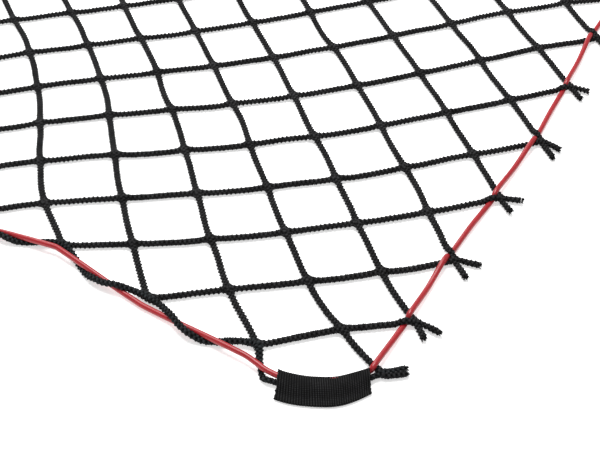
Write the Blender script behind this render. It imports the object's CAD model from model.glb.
import math

import bpy
import numpy as np
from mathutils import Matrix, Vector


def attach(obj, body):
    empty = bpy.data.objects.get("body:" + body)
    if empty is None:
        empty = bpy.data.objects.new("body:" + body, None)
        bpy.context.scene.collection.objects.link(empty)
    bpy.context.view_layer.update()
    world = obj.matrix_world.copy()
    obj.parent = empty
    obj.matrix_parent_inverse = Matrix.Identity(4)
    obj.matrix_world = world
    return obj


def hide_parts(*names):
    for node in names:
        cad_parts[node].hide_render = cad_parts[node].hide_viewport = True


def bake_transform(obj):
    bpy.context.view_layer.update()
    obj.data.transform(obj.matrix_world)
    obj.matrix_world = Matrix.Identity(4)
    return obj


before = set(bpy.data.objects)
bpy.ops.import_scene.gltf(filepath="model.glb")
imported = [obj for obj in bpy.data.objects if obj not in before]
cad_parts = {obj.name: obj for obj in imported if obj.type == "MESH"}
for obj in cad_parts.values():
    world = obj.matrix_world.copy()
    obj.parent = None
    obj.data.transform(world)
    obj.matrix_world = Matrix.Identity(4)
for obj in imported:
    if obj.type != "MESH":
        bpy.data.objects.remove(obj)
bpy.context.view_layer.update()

# ---- camera, floor and light ------------------------------------------------------------------
# The net is laid out on a pale studio floor and seen from above one corner, standing back from it,
# under one big soft light overhead and a weaker one behind.
camera = bpy.data.objects.new("camera", bpy.data.cameras.new("camera"))
bpy.context.scene.collection.objects.link(camera)
camera.location = (-1.5783, -0.9919, 1.1939)
CAMERA_HEADING = math.radians(29.3)
CAMERA_DIP = math.radians(42.9)
aim = Vector((math.cos(CAMERA_HEADING) * math.cos(CAMERA_DIP),
              math.sin(CAMERA_HEADING) * math.cos(CAMERA_DIP), -math.sin(CAMERA_DIP)))
camera.rotation_euler = aim.to_track_quat("-Z", "Y").to_euler()
camera.data.sensor_width = 36
camera.data.lens = 78
camera.data.clip_end = 60
bpy.context.scene.camera = camera


def new_node(tree, kind, ins=None, **settings):
    """A node with its settings, and its inputs set to values or linked to other nodes' outputs."""
    made = tree.nodes.new(kind)
    for name, value in settings.items():
        setattr(made, name, value)
    for key, value in (ins or {}).items():
        if isinstance(value, bpy.types.NodeSocket):
            tree.links.new(value, made.inputs[key])
        else:
            made.inputs[key].default_value = value
    return made


def new_material(name, roughness, **principled):
    """A material and its Principled shader, with the plain values set on the shader's sockets."""
    material = bpy.data.materials.new(name)
    material.use_nodes = True
    shader = material.node_tree.nodes["Principled BSDF"]
    shader.inputs["Roughness"].default_value = roughness
    for key, value in principled.items():
        shader.inputs[key.replace("_", " ").title().replace("Ior", "IOR")].default_value = value
    return material, shader


def mottle(material, shader, scale, detail, darker, lighter):
    """Lets the base colour drift between two shades. Returns the coordinates and the noise used."""
    tree = material.node_tree
    where = new_node(tree, "ShaderNodeTexCoord").outputs["Object"]
    noise = new_node(tree, "ShaderNodeTexNoise",
                     {"Vector": where, "Scale": scale, "Detail": detail}).outputs["Fac"]
    tint = new_node(tree, "ShaderNodeMix", {"Factor": noise, "A": darker + (1,), "B": lighter + (1,)},
                    data_type="RGBA")
    tree.links.new(tint.outputs["Result"], shader.inputs["Base Color"])
    return where, noise


floor_paint, floor_shader = new_material("floor_paint", 0.9, specular_ior_level=0.1,
                                         emission_strength=0.5)
mottle(floor_paint, floor_shader, 1.5, 2.0, (0.90, 0.90, 0.90), (0.93, 0.93, 0.93))
floor_shader.inputs["Emission Color"].default_value = (1, 1, 1, 1)
FLOOR_REACH, FLOOR_Z = 12, -0.0005
floor_mesh = bpy.data.meshes.new("floor")
floor_mesh.from_pydata([(x * FLOOR_REACH, y * FLOOR_REACH, FLOOR_Z)
                        for x, y in ((-1, -1), (1, -1), (1, 1), (-1, 1))], [], [(0, 1, 2, 3)])
floor_mesh.materials.append(floor_paint)
floor = bpy.data.objects.new("floor", floor_mesh)
bpy.context.scene.collection.objects.link(floor)


def soft_light(name, place, at, size, power):
    lamp = bpy.data.lights.new(name, "AREA")
    lamp.shape, lamp.size, lamp.energy = "DISK", size, power
    holder = bpy.data.objects.new(name, lamp)
    holder.location = place
    holder.rotation_euler = (Vector(at) - Vector(place)).to_track_quat("-Z", "Y").to_euler()
    bpy.context.scene.collection.objects.link(holder)


soft_light("overhead_light", (0.4, 0.6, 3.2), (0, 0, 0), 2.2, 130)
soft_light("back_light", (2.2, 2.6, 1.8), (0, 0, 0), 1.2, 35)
studio = bpy.data.worlds.new("studio")
studio.use_nodes = True
studio.node_tree.nodes["Background"].inputs["Color"].default_value = (1, 1, 1, 1)
studio.node_tree.nodes["Background"].inputs["Strength"].default_value = 0.5
bpy.context.scene.world = studio
bpy.context.scene.view_settings.view_transform = "Standard"

# ---- how the net lies -------------------------------------------------------------------------
# A knotless net is counted in diamonds, 10 along its cut edges and 8 along its selvedges. It was
# thrown down and pulled about, so each place in it is tugged a little from the true lattice.
CELLS = (10, 8)
PITCH = np.array([0.137, 0.146])
MIDDLE = np.array([0.685, 0.5854])
TUGS = [  # centre and reach in diamonds, pull in mm
    ((0, 0), 0.7, (43, 4)), ((0, 2), 1.2, (5, 20)), ((0, 8), 0.7, (43, -4)),
    ((0, 6), 1.2, (5, -20)), ((10, 0), 0.7, (-43, 4)), ((10, 2), 1.2, (-5, 20)),
    ((10, 8), 0.7, (-43, -4)), ((10, 6), 1.2, (-5, -20)), ((0, 3), 0.5, (20, 0)),
    ((2, 0), 1.2, (-10, 10)), ((0, 4), 1.6, (15, 40)), ((3, 2), 1.6, (-15, 0)),
    ((2, 4), 1.6, (15, -5)), ((2.5, 5.5), 1.4, (15, -20)), ((4.5, 4.5), 1.8, (-15, 5)),
    ((6.5, 3), 1.8, (-5, 25)), ((6.5, 0.5), 1.6, (15, 25)), ((1.2, 1.2), 1, (0, 5)),
]
# The fold line, in metres and counted in diamonds, and how far to each side of it the ropes bend
FOLD_X = 0.03425
FOLD_COLUMN = 5.25
random = np.random.default_rng(7)


def lay(x, y):
    place = np.array([x, y]) * PITCH - MIDDLE
    for centre, reach, pull in TUGS:
        away = ((x - centre[0]) ** 2 + (y - centre[1]) ** 2) / reach ** 2
        place = place + np.array(pull) / 1000 * math.exp(-away)
    return place


def unit(v):
    return v / np.linalg.norm(v)


def bell(distance, width):
    return np.exp(-(np.asarray(distance) / width) ** 2)


def through(knots, step):
    """Points about a step apart on a smooth curve through the knots, with all of their columns."""
    knots = np.asarray(knots, float)
    ends = np.vstack([2 * knots[0] - knots[1], knots, 2 * knots[-1] - knots[-2]])
    points = []
    for a, b, c, d in zip(ends, ends[1:], ends[2:], ends[3:]):
        count = max(1, int(round(np.linalg.norm((c - b)[:3]) / step)))
        for t in np.arange(count) / count:
            points.append(0.5 * (2 * b + (c - a) * t + (2 * a - 5 * b + 4 * c - d) * t ** 2
                                 + (3 * b - a - 3 * c + d) * t ** 3))
    return np.vstack([points, knots[-1]])


def point_values(mesh, name, values):
    attribute = mesh.attributes.new(name, "FLOAT", "POINT")
    attribute.data.foreach_set("value", np.asarray(values, np.float32))


def path_mesh(name, paths):
    """Open paths as one mesh of edges. Each row is x, y, z, the rope's radius and its turn there."""
    mesh = bpy.data.meshes.new(name)
    start, edges = 0, []
    for path in paths:
        edges += [(start + k, start + k + 1) for k in range(len(path) - 1)]
        start += len(path)
    rows = np.vstack(paths)
    mesh.from_pydata(rows[:, :3].tolist(), edges, [])
    for column, attribute in enumerate(("radius_here", "turn_here"), 3):
        point_values(mesh, attribute, rows[:, column] if column < rows.shape[1] else np.zeros(len(rows)))
    return mesh


def made_by(tree, name, mesh, values):
    """The plain mesh that a geometry tree makes from this one, as an object of that name."""
    source = bpy.data.objects.new(name + "_path", mesh)
    bpy.context.scene.collection.objects.link(source)
    modifier = source.modifiers.new("made", "NODES")
    modifier.node_group = tree
    for item in tree.interface.items_tree:
        if item.name in values:
            modifier[item.identifier] = values[item.name]
    made = source.evaluated_get(bpy.context.evaluated_depsgraph_get())
    done = bpy.data.meshes.new_from_object(made)
    bpy.data.objects.remove(source)
    piece = bpy.data.objects.new(name, done)
    bpy.context.scene.collection.objects.link(piece)
    return piece


def socket(tree, name, kind, default=None, direction="INPUT"):
    made = tree.interface.new_socket(name, in_out=direction, socket_type="NodeSocket" + kind)
    if default is not None:
        made.default_value = default


def arithmetic(tree):
    """A short way to add Math nodes to one tree. Each call gives the new node's result."""
    def math_node(operation, *values):
        ins = dict(enumerate(values))
        return new_node(tree, "ShaderNodeMath", ins, operation=operation).outputs[0]
    return math_node


def vector_math(tree, operation, ins, output=0):
    return new_node(tree, "ShaderNodeVectorMath", ins, operation=operation).outputs[output]


def named_values(tree, name, kind="FLOAT"):
    return new_node(tree, "GeometryNodeInputNamedAttribute", {"Name": name}, data_type=kind).outputs[0]


def store_raised(tree, shape, value):
    """Stores how far the surface stands out of its hollows, which the yarn's colour follows."""
    return new_node(tree, "GeometryNodeStoreNamedAttribute",
                    {"Geometry": shape, "Name": "raised", "Value": value},
                    data_type="FLOAT", domain="POINT").outputs[0]


def end_tree(tree, shape, material, output):
    """Ends a geometry tree with smooth, real geometry in its material."""
    smooth = new_node(tree, "GeometryNodeSetShadeSmooth", {"Geometry": shape})
    real = new_node(tree, "GeometryNodeRealizeInstances", {"Geometry": smooth.outputs[0]})
    painted = new_node(tree, "GeometryNodeSetMaterial",
                       {"Geometry": real.outputs[0], "Material": material})
    new_node(tree, "NodeGroupOutput", {output: painted.outputs[0]})


# ---- net strands ------------------------------------------------------------------------------
# Each strand is a chunky plaited cord of black polypropylene. It is braided together with its
# neighbours on the machine, so where two strands meet they swell and pass through each other with
# no knot. A radius here is to the crests of the lumps, so it is more than the cord's own.
STRAND_R = 0.0052
JOINT_R = 0.0063
JOINT_SWELL = 0.0075  # how far from a joint the rope is stouter
JOINT_RISE = 0.011  # how far from a joint the rope lies higher
JOINT_Z = 0.0062
SIDE_JOINT_Z = 0.0068
LYING_Z = 0.0049
LAY_LENGTH = 0.018
FLATNESS = 0.06
MOST_TURN = 0.22  # how far the flat plait turns from lying flat, in radians
RELIEF = 0.62
CORD_R = 0.0038
EYE_GAP = 0.0136  # from a border joint to where the border cord passes its bars
TAIL = 0.030
PATH_STEP = 0.0025


def rope_tree():
    """A plaited rope on each path: lumps of yarn that cross over and under each other as they wind."""
    tree = bpy.data.node_groups.new("plaited_rope", "GeometryNodeTree")
    socket(tree, "Paths", "Geometry")
    socket(tree, "Yarns Each Way", "Int", 3)
    socket(tree, "Sides", "Int", 18)
    socket(tree, "Lay Length", "Float", LAY_LENGTH)
    socket(tree, "Relief", "Float", RELIEF)
    socket(tree, "Flatness", "Float", 0.0)
    socket(tree, "Unevenness", "Float", 0.3)
    socket(tree, "Material", "Material")
    socket(tree, "Rope", "Geometry", direction="OUTPUT")
    given = new_node(tree, "NodeGroupInput").outputs
    math_node = arithmetic(tree)
    curves = new_node(tree, "GeometryNodeMeshToCurve", {"Mesh": given["Paths"]})
    ring_gap = math_node("DIVIDE", given["Lay Length"], given["Sides"])
    even = new_node(tree, "GeometryNodeResampleCurve",
                    {"Curve": curves.outputs[0], "Length": ring_gap}, mode="LENGTH")
    turned = new_node(tree, "GeometryNodeSetCurveTilt",
                      {"Curve": even.outputs[0], "Tilt": named_values(tree, "turn_here")})
    spline = new_node(tree, "GeometryNodeSplineParameter")
    place = new_node(tree, "GeometryNodeInputPosition")
    rail = new_node(tree, "GeometryNodeCaptureAttribute")
    rail.capture_items.new("VECTOR", "Centre")
    rail.capture_items.new("FLOAT", "Along")
    for key, value in (("Geometry", turned.outputs[0]), ("Centre", place.outputs[0]),
                       ("Along", spline.outputs["Length"])):
        tree.links.new(value, rail.inputs[key])
    circle = new_node(tree, "GeometryNodeCurvePrimitiveCircle",
                      {"Resolution": given["Sides"], "Radius": 1.0})
    round_it = new_node(tree, "GeometryNodeCaptureAttribute")
    round_it.capture_items.new("FLOAT", "Round")
    tree.links.new(circle.outputs[0], round_it.inputs["Geometry"])
    index = new_node(tree, "GeometryNodeInputIndex")
    tree.links.new(math_node("DIVIDE", index.outputs[0], given["Sides"]), round_it.inputs["Round"])
    oval = new_node(tree, "ShaderNodeCombineXYZ", {"X": math_node("ADD", 1.0, given["Flatness"]),
                                                  "Y": math_node("SUBTRACT", 1.0, given["Flatness"]), "Z": 1.0})
    flat = new_node(tree, "GeometryNodeTransform",
                    {"Geometry": round_it.outputs["Geometry"], "Scale": oval.outputs[0]})
    skin = new_node(tree, "GeometryNodeCurveToMesh",
                    {"Curve": rail.outputs["Geometry"], "Profile Curve": flat.outputs[0],
                     "Scale": named_values(tree, "radius_here"), "Fill Caps": True})
    turns = math_node("DIVIDE", rail.outputs["Along"], given["Lay Length"])
    one_way, other_way = (
        math_node("MULTIPLY", math_node(sense, round_it.outputs["Round"], turns),
                  given["Yarns Each Way"]) for sense in ("ADD", "SUBTRACT"))

    def yarn_height(across, along, sign):
        """Height of one set of yarns: crowned across, and rising and diving as it meets the other set."""
        crown = math_node("ABSOLUTE", math_node("SINE", math_node("MULTIPLY", across, math.pi)))
        which = math_node("MULTIPLY", math_node("FLOOR", across), math.pi)
        wave = math_node("SINE", math_node("ADD", math_node("MULTIPLY", along, math.pi), which))
        return math_node("ADD", math_node("MULTIPLY", crown, 0.6),
                         math_node("MULTIPLY", wave, 0.4 * sign))

    height = math_node("MAXIMUM", yarn_height(one_way, other_way, 1),
                       yarn_height(other_way, one_way, -1))
    height = math_node("POWER", math_node("MAXIMUM", height, 0.0), 1.2)
    hollow = math_node("MULTIPLY", math_node("SUBTRACT", 1.0, height), given["Relief"])
    share = math_node("SUBTRACT", 1.0, hollow)
    uneven = new_node(tree, "ShaderNodeTexNoise",
                      {"Vector": place.outputs[0], "Scale": 160.0, "Detail": 1.0})
    slack = math_node("MULTIPLY", math_node("SUBTRACT", uneven.outputs["Fac"], 0.58),
                      given["Unevenness"])
    share = math_node("ADD", share, slack)
    centre = rail.outputs["Centre"]
    outward = vector_math(tree, "SUBTRACT", {0: place.outputs[0], 1: centre})
    scaled = vector_math(tree, "SCALE", {0: outward, "Scale": share})
    moved = vector_math(tree, "ADD", {0: scaled, 1: centre})
    lumpy = new_node(tree, "GeometryNodeSetPosition",
                     {"Geometry": skin.outputs[0], "Position": moved})
    end_tree(tree, store_raised(tree, lumpy.outputs[0], height), given["Material"], "Rope")
    return tree


def fibre_group():
    """Fine yarn fibres: a shade that varies over the surface, and a height for its bump."""
    tree = bpy.data.node_groups.new("fibres", "ShaderNodeTree")
    socket(tree, "Scale", "Float", 900.0)
    socket(tree, "Shade", "Float", direction="OUTPUT")
    socket(tree, "Height", "Float", direction="OUTPUT")
    given = new_node(tree, "NodeGroupInput").outputs
    math_node = arithmetic(tree)
    where = new_node(tree, "ShaderNodeTexCoord").outputs["Object"]
    fine = new_node(tree, "ShaderNodeTexNoise", {"Vector": where, "Scale": given["Scale"],
                                                 "Detail": 4.0, "Roughness": 0.7}).outputs["Fac"]
    broad = new_node(tree, "ShaderNodeTexNoise",
                     {"Vector": where, "Scale": 60.0, "Detail": 2.0}).outputs["Fac"]
    shade = math_node("MULTIPLY", math_node("MULTIPLY", fine, broad), 2.0)
    new_node(tree, "NodeGroupOutput", {"Shade": shade, "Height": fine})
    return tree


plait = rope_tree()
fibres = fibre_group()


def yarn_material(name, deep, crown, roughness, fibre_scale, bump, warp_pitch=None):
    """Black yarn: darkest in the hollows between the lumps and greyer where they are rubbed.

    Flat webbing has warp yarns along it too, which a warp pitch shades across its width.
    """
    material, shader = new_material(name, roughness, specular_ior_level=0.05)
    tree = material.node_tree
    math_node = arithmetic(tree)
    yarn = new_node(tree, "ShaderNodeGroup", {"Scale": fibre_scale}, node_tree=fibres)
    raised = new_node(tree, "ShaderNodeAttribute", attribute_name="raised").outputs["Fac"]
    lit = math_node("MULTIPLY", math_node("POWER", raised, 2.2), yarn.outputs["Shade"])
    if warp_pitch:
        across = new_node(tree, "ShaderNodeAttribute", attribute_name="across").outputs["Fac"]
        warp = math_node("SINE", math_node("MULTIPLY", across, math.pi / warp_pitch))
        lit = math_node("MULTIPLY", lit, math_node("ABSOLUTE", warp))
    colour = new_node(tree, "ShaderNodeMix", {"Factor": lit, "A": deep + (1,), "B": crown + (1,)},
                      data_type="RGBA")
    tree.links.new(colour.outputs["Result"], shader.inputs["Base Color"])
    rough = new_node(tree, "ShaderNodeMapRange",
                     {"Value": yarn.outputs["Shade"], "To Min": roughness - 0.12,
                      "To Max": roughness + 0.1})
    tree.links.new(rough.outputs["Result"], shader.inputs["Roughness"])
    relief = new_node(tree, "ShaderNodeBump", {"Height": yarn.outputs["Height"],
                                               "Strength": bump, "Distance": 0.0006})
    tree.links.new(relief.outputs["Normal"], shader.inputs["Normal"])
    return material


net_yarn = yarn_material("black_net_yarn", (0.0005, 0.0005, 0.0005), (0.070, 0.070, 0.074),
                         0.55, 900.0, 0.6)

STRANDS = range(1, CELLS[0] + CELLS[1])


def falling(s):
    """The joints along a falling strand, each counted in diamonds from the first corner."""
    first, last = max(0, s - CELLS[1]), min(CELLS[0], s)
    return [(x / 2, s - x / 2) for x in range(2 * first, 2 * last + 1)]


def rising(s):
    t = s - CELLS[1]
    first, last = max(0, t), min(CELLS[0], CELLS[1] + t)
    return [(x / 2, x / 2 - t) for x in range(2 * first, 2 * last + 1)]


def on_cut(q):
    return q[1] in (0, CELLS[1])


def on_side(q):
    return q[0] in (0, CELLS[0])


def out_y(q):
    return -1 if q[1] == 0 else 1


# How the border cord passes the two bars that end at a border joint: over one and under the other,
# turn about from joint to joint. At a corner it passes over the one bar there.
def cord_is_over(p, q):
    left_bar = p[0] < q[0]
    return True if on_side(q) else left_bar == (q[0] % 2 == 0)


UNDER_LIFT = 0.0046
# Where the tails near the first corner fell, in mm from their joint
FALLEN_TAILS = {("falling", (1, 0)): (-1, -33), ("rising", (1, 0)): (-18, -20),
                ("falling", (2, 0)): (8, -31), ("rising", (2, 0)): (-21, -25),
                ("falling", (3, 0)): (10, -26), ("rising", (3, 0)): (-17, -21),
                ("falling", (4, 0)): (-4, -29), ("rising", (4, 0)): (-24, -27),
                ("rising", (0, 0)): (14.5, -24.5)}
tail_ends = []


def tail_points(kind, p, q, outward):
    """The cut tail of the strand that comes from joint p to the border joint q."""
    at = lay(*q)
    d = unit(at - lay(*p))
    lean = -0.2 if on_side(q) else 0.15 if kind == "falling" else 1
    usual = TAIL * random.uniform(0.8, 1.08) * unit(np.array([lean * d[0], d[1]]))
    reach = np.array(FALLEN_TAILS[kind, q]) / 1000 if (kind, q) in FALLEN_TAILS else usual
    height = LYING_Z + random.uniform(-0.0004, 0.001)
    knee = at + 0.0075 * unit(d + 1.2 * unit(reach))
    tail_ends.append((at + reach, unit(at + reach - knee), height))
    knots = [[*(at + 0.002 * d), 0.0060, 0.0062], [*knee, 0.0050, 0.0050],
             [*((knee + at + reach) / 2), height, STRAND_R],
             [*(at + reach), height, STRAND_R * 1.05]]
    return through(knots if outward else knots[::-1], PATH_STEP)


def bar_points(p, q, before, after):
    """The bar from joint p to joint q, bowed a little, with the joints before and after for its bends."""
    a, b = lay(*p), lay(*q)
    length = np.linalg.norm(b - a)
    aside = np.array([-(b - a)[1], (b - a)[0]]) / length
    from_a = unit(b - lay(*before)) if before else unit(b - a)
    from_b = unit(lay(*after) - a) if after else unit(b - a)
    count = int(round(length / PATH_STEP))
    t = np.arange(count) / count
    h = np.array([2 * t ** 3 - 3 * t ** 2 + 1, t ** 3 - 2 * t ** 2 + t,
                  -2 * t ** 3 + 3 * t ** 2, t ** 3 - t ** 2])
    xy = (h[0][:, None] * a + h[1][:, None] * from_a * length
          + h[2][:, None] * b + h[3][:, None] * from_b * length)
    bow = (random.normal(0, 0.0014) * np.sin(math.pi * t)
           + random.normal(0, 0.0005) * np.sin(2 * math.pi * t))
    xy = xy + bow[:, None] * aside
    to_joint = np.minimum(t, 1 - t) * length
    z = LYING_Z + (JOINT_Z - LYING_Z) * bell(to_joint, JOINT_RISE)
    for joint, other, distance in ((p, q, t * length), (q, p, (1 - t) * length)):
        if on_cut(joint) and not cord_is_over(other, joint):
            z = z + UNDER_LIFT * bell(distance - EYE_GAP, 0.0075)
        if on_side(joint) and not on_cut(joint):
            z = z + (SIDE_JOINT_Z - JOINT_Z) * bell(distance, JOINT_RISE)
    r = STRAND_R + (JOINT_R - STRAND_R) * bell(to_joint, JOINT_SWELL)
    return np.column_stack([xy, z, r])


def with_turns(path):
    """Adds the slow turning of the flat plait along its path."""
    along = np.concatenate([[0], np.cumsum(np.linalg.norm(np.diff(path[:, :3], axis=0), axis=1))])
    marks = np.arange(0, along[-1] + 0.12, 0.06)
    turns = np.interp(along, marks, random.uniform(-MOST_TURN, MOST_TURN, len(marks)))
    return np.column_stack([path, turns])


def strand_path(kind, row):
    parts = []
    if on_cut(row[0]):
        parts.append(tail_points(kind, row[1], row[0], outward=False))
    for k in range(len(row) - 1):
        parts.append(bar_points(row[k], row[k + 1], row[k - 1] if k else None,
                                row[k + 2] if k + 2 < len(row) else None))
    end = row[-1]
    rise = SIDE_JOINT_Z if on_side(end) and not on_cut(end) else JOINT_Z
    parts.append(np.array([[*lay(*end), rise, JOINT_R]]))
    if on_cut(end):
        parts.append(tail_points(kind, row[-2], end, outward=True))
    return np.vstack(parts)


def hold(piece, near, far):
    """A piece on one half rides on it, and one that crosses the fold line bends there."""
    if near and far:
        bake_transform(piece)
    else:
        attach(piece, "near_half" if near else "far_half")


for kind, joints in (("falling", falling), ("rising", rising)):
    for s in STRANDS:
        row = joints(s)
        name = f"{kind}_strand_{s:02d}"
        near, far = row[0][0] < FOLD_COLUMN, row[-1][0] > FOLD_COLUMN
        piece = made_by(plait, name + "_rope", path_mesh(name, [with_turns(strand_path(kind, row))]),
                        {"Flatness": FLATNESS, "Material": net_yarn})
        hold(piece, near, far)
        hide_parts(*([name + "_near", name + "_far"] if near and far else [name]))

# ---- border cord ------------------------------------------------------------------------------
# A red cord with a smooth sheath is threaded by hand through the outer diamonds, all the way round.
# Its ends are crimped in a metal joiner inside the last corner's sleeve.
BEND_CENTRE = np.array([0.075, 0.110])
# Angles of the bend in degrees about that centre: its start, its two ends and the sleeve's middle
BEND_FROM, BEND_TO, CORD_BEND_TO, SLEEVE_MID = 249, 174, 181.5, 212
BEND_STEP = 7.5
CORD_BEND_R, STRAND_BEND_R = 0.096, 0.105
NET = np.array([1.370, 1.168])
CORNERS = [(0, 0), (0, 1), (1, 0), (1, 1)]
OVER_Z, BETWEEN_Z, UNDER_Z = 0.0106, 0.0052, 0.0036
# How far inside the selvedge the cord runs at each of its joints, and outside it the strand winds
INSIDE = [0.012, 0.0255, 0.013, 0.012, 0.012, 0.012, 0.013, 0.0255, 0.012]
OUTSIDE = 0.0082
WEAVE_Z = 0.0083
CORD_WAVE = 0.0034
PASSING_GAP = 0.0071


def mirrored(c, point):
    x, y, *rest = point
    return [(x if c[0] == 0 else NET[0] - x) - MIDDLE[0],
            (y if c[1] == 0 else NET[1] - y) - MIDDLE[1], *rest]


def eased(radius, along, cut_growth, side_growth):
    """The slack corner isn't a true arc: a line round it drifts away from one towards its two ends."""
    return radius - 0.0042 + np.where(along > 0, cut_growth, side_growth) * (along / 0.057) ** 2


def bend(c, radius, rope_r, z, side_growth, start=BEND_FROM, stop=BEND_TO):
    points = []
    for a in np.radians(np.arange(start, stop - 0.01, -BEND_STEP)):
        r = eased(radius, radius * math.sin(a - math.radians(SLEEVE_MID)), 0.0047, side_growth)
        points.append(mirrored(c, [*(BEND_CENTRE + r * np.array([math.cos(a), math.sin(a)])), z, rope_r]))
    return points


def eye(p, q):
    """Where the cord passes the bar that comes from joint p and ends at the border joint q."""
    at = lay(*q)
    place = at + EYE_GAP * unit(lay(*p) - at)
    return [*place, OVER_Z if cord_is_over(p, q) else UNDER_Z, CORD_R]


def cut_pair(q):
    inward = q[1] - 0.5 * out_y(q)
    return [eye((q[0] - 0.5, inward), q), eye((q[0] + 0.5, inward), q)]


def corner_eye(c):
    corner = (c[0] * CELLS[0], c[1] * CELLS[1])
    return eye((abs(corner[0] - 0.5), abs(corner[1] - 0.5)), corner)


def side_place(x, y, which):
    """The cord and the selvedge strand wind past each other; this is where either lies at height y."""
    k = min(int(y), CELLS[1] - 1)
    edge = lay(x, k) * (1 - (y - k)) + lay(x, k + 1) * (y - k)
    inside = np.interp(y, range(len(INSIDE)), INSIDE)
    sign = 1 if x == 0 else -1
    cord_x = edge[0] - sign * inside
    cord_z = WEAVE_Z - CORD_WAVE * math.cos(math.pi * y)
    if which == "cord":
        return [cord_x, edge[1], cord_z, CORD_R]
    off = (inside + OUTSIDE) * (0.5 + 0.5 * math.cos(2 * math.pi * y)) - OUTSIDE
    passing_z = cord_z + PASSING_GAP
    if round(y) % 2:
        passing_z = max(cord_z - PASSING_GAP, LYING_Z - 0.0004)
    free_z = SIDE_JOINT_Z if off > 0 else LYING_Z + 0.0015
    return [cord_x + sign * off, edge[1], free_z + (passing_z - free_z) * bell(off, 0.0085), STRAND_R]


SIDE_STEPS = [1 + 0.1 * k for k in range(10 * (CELLS[1] - 2) + 1)]
CORD_RISE = [[-0.0242, 0.1280, 0.0106, CORD_R], [-0.0215, 0.140, 0.0110, CORD_R]]


def rising_bend(c, start=BEND_FROM, stop=CORD_BEND_TO):
    """The cord's bend in a sleeve, which lifts towards the selvedge, where the strand passes under it."""
    points = bend(c, CORD_BEND_R, CORD_R, JOINT_Z, 0.0108, start, stop)
    for point, angle in zip(points, np.arange(start, stop - 0.01, -BEND_STEP)):
        point[2] = float(np.interp(angle, (CORD_BEND_TO, 200), (0.0100, JOINT_Z)))
    return points


def cord_corner(c):
    return rising_bend(c) + [mirrored(c, p) for p in CORD_RISE]


def side_run(x):
    return [side_place(x, y, "cord") for y in SIDE_STEPS]


def cut_run(y):
    pairs = [cut_pair((x, y)) for x in range(1, CELLS[0])]
    points = []
    for one, after in zip(pairs, pairs[1:] + [None]):
        points += one
        if after:
            middle_x, middle_y = (one[1][0] + after[0][0]) / 2, (one[1][1] + after[0][1]) / 2
            points.append([middle_x, middle_y + random.normal(0, 0.0006), BETWEEN_Z, CORD_R])
    return points


cord_knots = (rising_bend(CORNERS[3], SLEEVE_MID - 0.5)
              + [mirrored(CORNERS[3], p) for p in CORD_RISE] + side_run(CELLS[0])[::-1]
              + cord_corner(CORNERS[2])[::-1] + [corner_eye(CORNERS[2])] + cut_run(0)[::-1]
              + [corner_eye(CORNERS[0])] + cord_corner(CORNERS[0]) + side_run(0)
              + cord_corner(CORNERS[1])[::-1] + [corner_eye(CORNERS[1])] + cut_run(CELLS[1])
              + [corner_eye(CORNERS[3])]
              + rising_bend(CORNERS[3], BEND_FROM, SLEEVE_MID + 0.5))


def round_tree():
    """A plain round cord on each path."""
    tree = bpy.data.node_groups.new("round_cord", "GeometryNodeTree")
    socket(tree, "Paths", "Geometry")
    socket(tree, "Sides", "Int", 20)
    socket(tree, "Ring Gap", "Float", 0.003)
    socket(tree, "Material", "Material")
    socket(tree, "Cord", "Geometry", direction="OUTPUT")
    given = new_node(tree, "NodeGroupInput").outputs
    curves = new_node(tree, "GeometryNodeMeshToCurve", {"Mesh": given["Paths"]})
    even = new_node(tree, "GeometryNodeResampleCurve",
                    {"Curve": curves.outputs[0], "Length": given["Ring Gap"]}, mode="LENGTH")
    circle = new_node(tree, "GeometryNodeCurvePrimitiveCircle",
                      {"Resolution": given["Sides"], "Radius": 1.0})
    skin = new_node(tree, "GeometryNodeCurveToMesh",
                    {"Curve": even.outputs[0], "Profile Curve": circle.outputs[0],
                     "Scale": named_values(tree, "radius_here"), "Fill Caps": True})
    end_tree(tree, skin.outputs[0], given["Material"], "Cord")
    return tree


red_sheath, red_shader = new_material("red_sheath", 0.36, specular_ior_level=0.5)
red_tree = red_sheath.node_tree
red_where, red_wear = mottle(red_sheath, red_shader, 45.0, 5.0, (0.28, 0.006, 0.011), (0.40, 0.011, 0.018))
red_rough = new_node(red_tree, "ShaderNodeMapRange", {"Value": red_wear, "To Min": 0.26, "To Max": 0.44})
red_tree.links.new(red_rough.outputs["Result"], red_shader.inputs["Roughness"])
red_grain = new_node(red_tree, "ShaderNodeTexNoise", {"Vector": red_where, "Scale": 700.0})
red_bump = new_node(red_tree, "ShaderNodeBump", {"Height": red_grain.outputs["Fac"],
                                                 "Strength": 0.15, "Distance": 0.0003})
red_tree.links.new(red_bump.outputs["Normal"], red_shader.inputs["Normal"])

cord_path = path_mesh("border_cord", [through(cord_knots, PATH_STEP)])
border_cord = made_by(round_tree(), "border_cord", cord_path, {"Material": red_sheath})
hold(border_cord, True, True)
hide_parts("border_cord_near", "border_cord_far")

joiner_metal, joiner_shader = new_material("crimped_joiner", 0.35, metallic=1.0)
mottle(joiner_metal, joiner_shader, 300.0, 2.0, (0.62, 0.62, 0.63), (0.80, 0.80, 0.81))
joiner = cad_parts["cord_joiner"]
joiner.data.materials.clear()
joiner.data.materials.append(joiner_metal)

# ---- selvedge strands -------------------------------------------------------------------------
# The net's first and last strand, a little stouter than the others. Each winds in and out past the
# border cord, and its two ends run through the corner sleeves to the corner joints.
SELVEDGE_R = 0.0053
KNOT_R = 0.0068
STRAND_DIP = [[-0.032, 0.128, 0.0043, 0.0046], [-0.020, 0.138, 0.0042, 0.0046],
              [-0.006, 0.148, 0.0055, SELVEDGE_R]]


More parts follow.
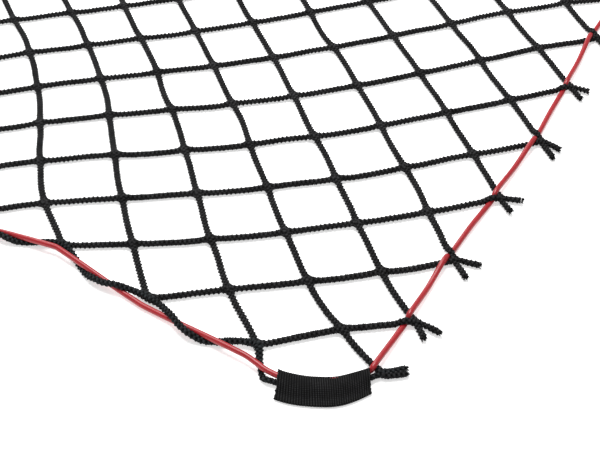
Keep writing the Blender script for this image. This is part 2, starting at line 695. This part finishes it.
def corner_tail(c):
    corner = (c[0] * CELLS[0], c[1] * CELLS[1])
    joint = [*lay(*corner), JOINT_Z, JOINT_R]
    tip = np.array(mirrored(c, [0.0635, -0.0145]))
    away = unit(tip - np.array(joint[:2]))
    tail_ends.append((tip, away, LYING_Z))
    return [[*tip, LYING_Z, SELVEDGE_R],
            [*(np.array(joint[:2]) + 0.012 * away), 0.0048, SELVEDGE_R], joint]


def selvedge_knots(x):
    low, high = (x // CELLS[0], 0), (x // CELLS[0], 1)
    ends = [corner_tail(c) + bend(c, STRAND_BEND_R, 0.0046, 0.0056, 0.0061)
            + [mirrored(c, p) for p in STRAND_DIP] for c in (low, high)]
    middle = []
    for y in SIDE_STEPS:
        place = side_place(x, y, "strand")
        place[3] = SELVEDGE_R + (KNOT_R - SELVEDGE_R) * bell((y - round(y)) * PITCH[1], 0.009)
        middle.append(place)
    return ends[0] + middle + ends[1][::-1]


selvedge_yarn = yarn_material("black_selvedge_yarn", (0.0005, 0.0005, 0.0005),
                              (0.062, 0.070, 0.076), 0.53, 850.0, 0.6)
for name, x, near in (("left", 0, True), ("right", CELLS[0], False)):
    path = with_turns(through(selvedge_knots(x), PATH_STEP))
    piece = made_by(plait, f"selvedge_rope_{name}", path_mesh(name, [path]),
                    {"Lay Length": 0.0192, "Flatness": FLATNESS, "Relief": 0.60,
                     "Material": selvedge_yarn})
    hold(piece, near, not near)
    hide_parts(f"selvedge_strand_{name}")

# ---- yarns that cross over in the joints ------------------------------------------------------
# In each joint some yarns leave one strand for the other, so the corners between the bars are
# filled and rounded.
CROSS_YARN_R = 0.0023
CROSS_REACH = 0.0105  # how far from the joint a crossing yarn leaves its strand
WIDEST_CORNER = 2.7  # two bars further apart than this have no corner to fill, in radians


def arms_of(q):
    """Directions in which ropes leave joint q."""
    x, y = q
    arms = []
    for dx, dy in ((0.5, 0.5), (0.5, -0.5), (-0.5, 0.5), (-0.5, -0.5)):
        if 0 <= x + dx <= CELLS[0] and 0 <= y + dy <= CELLS[1]:
            arms.append(unit(lay(x + dx, y + dy) - lay(x, y)))
    if on_side(q) and not on_cut(q):
        here = np.array(side_place(x, y, "strand")[:2])
        for step in (0.07, -0.07):
            near_y = min(max(y + step, 1.0), CELLS[1] - 1.0)
            if abs(near_y - y) > 0.01:
                arms.append(unit(np.array(side_place(x, near_y, "strand")[:2]) - here))
    return sorted(arms, key=lambda d: math.atan2(d[1], d[0]))


def cross_yarns(q):
    at, arms = lay(*q), arms_of(q)
    z = SIDE_JOINT_Z if on_side(q) and not on_cut(q) else JOINT_Z
    paths = []
    for u, v in zip(arms, arms[1:] + arms[:1]):
        turn = (math.atan2(v[1], v[0]) - math.atan2(u[1], u[0])) % (2 * math.pi)
        if turn > WIDEST_CORNER:
            continue
        side_u, side_v = np.array([-u[1], u[0]]), np.array([v[1], -v[0]])
        start = at + CROSS_REACH * u + 0.0018 * side_u
        end = at + CROSS_REACH * v + 0.0018 * side_v
        bend_at = at + unit(u + v) * 0.0042 / math.sin(turn / 2)
        t = np.linspace(0, 1, 9)[:, None]
        xy = (1 - t) ** 2 * start + 2 * t * (1 - t) * bend_at + t ** 2 * end
        lift = z - 0.0012 + random.uniform(0, 0.0016)
        paths.append(np.column_stack([xy, np.full(9, lift), np.full(9, CROSS_YARN_R)]))
    return paths


near_yarns, far_yarns = [], []
for x2 in range(0, 2 * CELLS[0] + 1):
    for y2 in range(x2 % 2, 2 * CELLS[1] + 1, 2):
        q = (x2 / 2, y2 / 2)
        if not (on_side(q) and on_cut(q)):
            (near_yarns if q[0] < FOLD_COLUMN else far_yarns).extend(cross_yarns(q))
for name, paths in (("near", near_yarns), ("far", far_yarns)):
    piece = made_by(plait, f"joint_yarns_{name}", path_mesh(name, paths),
                    {"Yarns Each Way": 1, "Sides": 6, "Lay Length": 0.0056, "Relief": 0.28,
                     "Material": net_yarn})
    hold(piece, name == "near", name == "far")

# ---- frayed ends ------------------------------------------------------------------------------
# The tails on the cut edges were snipped with a hot blade and have started to fray: short stiff
# yarns stand out of each cut face, and here and there a long thin one.


def fray_tree():
    """Tapering yarns that stand out of each cut end along the end's direction."""
    tree = bpy.data.node_groups.new("frayed_end", "GeometryNodeTree")
    socket(tree, "Ends", "Geometry")
    socket(tree, "Yarns Per End", "Int", 22)
    socket(tree, "Yarn Length", "Float", 0.0032)
    socket(tree, "Yarn Radius", "Float", 0.0009)
    socket(tree, "Spread", "Float", 0.3)
    socket(tree, "Cut Face Radius", "Float", 0.003)
    socket(tree, "Seed", "Int", 3)
    socket(tree, "Material", "Material")
    socket(tree, "Yarns", "Geometry", direction="OUTPUT")
    given = new_node(tree, "NodeGroupInput").outputs
    points = new_node(tree, "GeometryNodeMeshToPoints", {"Mesh": given["Ends"]})
    many = new_node(tree, "GeometryNodeDuplicateElements",
                    {"Geometry": points.outputs[0], "Amount": given["Yarns Per End"]}, domain="POINT")
    facing = named_values(tree, "facing", "FLOAT_VECTOR")
    aside = new_node(tree, "FunctionNodeRandomValue",
                     {0: (-1, -1, -1), 1: (1, 1, 1), "Seed": given["Seed"]},
                     data_type="FLOAT_VECTOR").outputs[0]
    along = vector_math(tree, "DOT_PRODUCT", {0: aside, 1: facing}, "Value")
    flat = vector_math(tree, "SCALE", {0: facing, "Scale": along})
    across = vector_math(tree, "SUBTRACT", {0: aside, 1: flat})
    shift = vector_math(tree, "SCALE", {0: across, "Scale": given["Cut Face Radius"]})
    spread_out = new_node(tree, "GeometryNodeSetPosition",
                          {"Geometry": many.outputs[0], "Offset": shift})
    lean = vector_math(tree, "SCALE", {0: across, "Scale": given["Spread"]})
    heading = vector_math(tree, "ADD", {0: facing, 1: lean})
    turned = new_node(tree, "FunctionNodeAlignRotationToVector", {"Vector": heading}, axis="Z")
    yarn = new_node(tree, "GeometryNodeMeshCone",
                    {"Vertices": 5, "Side Segments": 2, "Radius Top": 0.35, "Radius Bottom": 1.0,
                     "Depth": 1.0}, fill_type="TRIANGLE_FAN")
    length = new_node(tree, "FunctionNodeRandomValue",
                      {2: 0.5, 3: 1.4, "Seed": given["Seed"]}, data_type="FLOAT")
    size = new_node(tree, "ShaderNodeCombineXYZ",
                    {"X": given["Yarn Radius"], "Y": given["Yarn Radius"],
                     "Z": arithmetic(tree)("MULTIPLY", length.outputs[1], given["Yarn Length"])})
    placed = new_node(tree, "GeometryNodeInstanceOnPoints",
                      {"Points": spread_out.outputs[0], "Instance": yarn.outputs[0],
                       "Rotation": turned.outputs[0], "Scale": size.outputs[0]})
    real = new_node(tree, "GeometryNodeRealizeInstances", {"Geometry": placed.outputs[0]})
    painted = new_node(tree, "GeometryNodeSetMaterial",
                       {"Geometry": store_raised(tree, real.outputs[0], 0.6),
                        "Material": given["Material"]})
    new_node(tree, "NodeGroupOutput", {"Yarns": painted.outputs[0]})
    return tree


fray = fray_tree()
for name, ends in (("near", [e for e in tail_ends if e[0][0] < FOLD_X]),
                   ("far", [e for e in tail_ends if e[0][0] > FOLD_X])):
    mesh = bpy.data.meshes.new(name)
    mesh.from_pydata([(*(tip + 0.0005 * away), z) for tip, away, z in ends], [], [])
    facing = mesh.attributes.new("facing", "FLOAT_VECTOR", "POINT")
    facing.data.foreach_set("vector", np.array([[*away, 0.0] for _, away, _ in ends],
                                               np.float32).ravel())
    piece = made_by(fray, f"frayed_yarns_{name}", mesh, {"Material": net_yarn})
    hold(piece, name == "near", name == "far")

# ---- corner sleeves ---------------------------------------------------------------------------
# A tube of flat-woven black webbing is slipped over each corner to guard it. The cord and the strand
# lie in its inner half, which bulges, and the outer half lies flat. Its ribs run across it and its
# cut ends are a little ragged.
SLEEVE_INNER_R, SLEEVE_W, SLEEVE_WALL = 0.0896, 0.043, 0.0013
SLEEVE_ENDS = (0.0561, -0.0525)  # its two mouths, measured along it from its middle
RIB_PITCH = 0.0028
WARP_PITCH = 0.0021
RINGS_PER_RIB, ROUND = 4, 56
RINGS = int(round((SLEEVE_ENDS[0] - SLEEVE_ENDS[1]) / RIB_PITCH * RINGS_PER_RIB))
FLAT_Z = 0.0024


def sleeve_section(share, waves):
    """The slack tube's outline at a share of its length: where it is across the width, and its height."""
    angle = np.linspace(0, 2 * math.pi, ROUND, endpoint=False)
    across = 0.5 - 0.5 * np.sign(np.cos(angle)) * np.abs(np.cos(angle)) ** 0.6
    rope_top = 0.0118 + 0.0034 * np.interp(share, (0.55, 1), (0, 1)) ** 2
    over_ropes = np.clip((across - 0.40) / 0.45, 0, 1)
    top = rope_top + (0.0052 - rope_top) * over_ropes ** 2 * (3 - 2 * over_ropes)
    top = (top + 0.0005 * np.sin(share * 9 + waves[0] + across * 4)
           + 0.0003 * np.sin(share * 21 + waves[1] - across * 7))
    half = np.abs(np.sin(angle)) ** 0.55
    upper, lower = FLAT_Z + (top - FLAT_Z) * half, FLAT_Z * (1 - half) + 0.0004
    return across, np.where(np.sin(angle) > 0, upper, lower)


def sleeve_mesh(name, c):
    """A closed skin of the woven tube, outer wall and inner wall joined at the two mouths."""
    rng = np.random.default_rng(11 + 2 * c[0] + c[1])
    waves = rng.uniform(0, 6.28, 3)
    ragged = rng.normal(0, 0.0006, (2, ROUND))
    mesh = bpy.data.meshes.new(name)
    points, along_values, across_values, outer_values = [], [], [], []
    for wall, inset in ((1, 0.0), (0, SLEEVE_WALL)):
        for k in range(RINGS + 1):
            share = k / RINGS
            across, height = sleeve_section(share, waves)
            middle = FLAT_Z + 0.5 * (height - FLAT_Z)
            inward = np.sign(middle - height) * np.minimum(1, np.abs(height - FLAT_Z) / 0.003)
            height = height + inset * inward
            to_end = min(k, RINGS - k) / RINGS_PER_RIB
            slack = ragged[0 if k < RINGS / 2 else 1] * max(0, 1 - to_end)
            splay = -0.0069 * across * max(0, (share - 0.6) / 0.4)
            along = SLEEVE_ENDS[0] + share * (SLEEVE_ENDS[1] - SLEEVE_ENDS[0]) + slack + splay
            r = (SLEEVE_INNER_R + inset + across * (SLEEVE_W - 2 * inset)
                 + 0.0005 * math.sin(share * 11 + waves[2]))
            r = eased(r, along, 0.0079 - 0.0121 * across, 0.0040 - 0.0044 * across)
            angle = math.radians(SLEEVE_MID) + np.arcsin(along / r)
            place = np.column_stack([BEND_CENTRE[0] + r * np.cos(angle),
                                     BEND_CENTRE[1] + r * np.sin(angle), height])
            points += [mirrored(c, point) for point in place]
            along_values += [share * (SLEEVE_ENDS[0] - SLEEVE_ENDS[1])] * ROUND
            across_values += (across * SLEEVE_W).tolist()
            outer_values += [wall] * ROUND
    faces = []
    size = (RINGS + 1) * ROUND
    for n in range(ROUND):
        following = (n + 1) % ROUND
        for wall in (0, 1):
            for k in range(RINGS):
                a, b = wall * size + k * ROUND + n, wall * size + k * ROUND + following
                faces.append((a, b, b + ROUND, a + ROUND)[::1 if wall else -1])
        for k in (0, RINGS):
            a, b = k * ROUND + n, k * ROUND + following
            faces.append((a, b, b + size, a + size)[::1 if k == 0 else -1])
    turned_over = (c[0] + c[1]) % 2
    mesh.from_pydata(points, [], [face[::-1] for face in faces] if turned_over else faces)
    point_values(mesh, "along", along_values)
    point_values(mesh, "across", across_values)
    point_values(mesh, "outer", outer_values)
    return mesh


def rib_tree():
    """Ribs across the outer wall of a woven tube."""
    tree = bpy.data.node_groups.new("woven_ribs", "GeometryNodeTree")
    socket(tree, "Tube", "Geometry")
    socket(tree, "Rib Pitch", "Float", RIB_PITCH)
    socket(tree, "Rib Height", "Float", 0.00035)
    socket(tree, "Material", "Material")
    socket(tree, "Tube", "Geometry", direction="OUTPUT")
    given = new_node(tree, "NodeGroupInput").outputs
    math_node = arithmetic(tree)
    count = math_node("DIVIDE", named_values(tree, "along"), given["Rib Pitch"])
    rib = math_node("ABSOLUTE", math_node("SINE", math_node("MULTIPLY", count, math.pi)))
    ridge = math_node("MULTIPLY", math_node("SUBTRACT", rib, 0.5), named_values(tree, "outer"))
    rise = math_node("MULTIPLY", ridge, given["Rib Height"])
    normal = new_node(tree, "GeometryNodeInputNormal")
    out = vector_math(tree, "SCALE", {0: normal.outputs[0], "Scale": rise})
    ribbed = new_node(tree, "GeometryNodeSetPosition",
                      {"Geometry": store_raised(tree, given["Tube"], rib), "Offset": out})
    end_tree(tree, ribbed.outputs[0], given["Material"], "Tube")
    return tree


ribs = rib_tree()
webbing = yarn_material("black_webbing", (0.001, 0.001, 0.001), (0.060, 0.060, 0.062),
                        0.74, 420.0, 0.5, WARP_PITCH)
for number, c in enumerate(CORNERS, 1):
    piece = made_by(ribs, f"woven_sleeve_{number}", sleeve_mesh(f"sleeve_{number}", c),
                    {"Material": webbing})
    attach(piece, f"sleeve_{number}")
    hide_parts(f"sleeve_{number}")
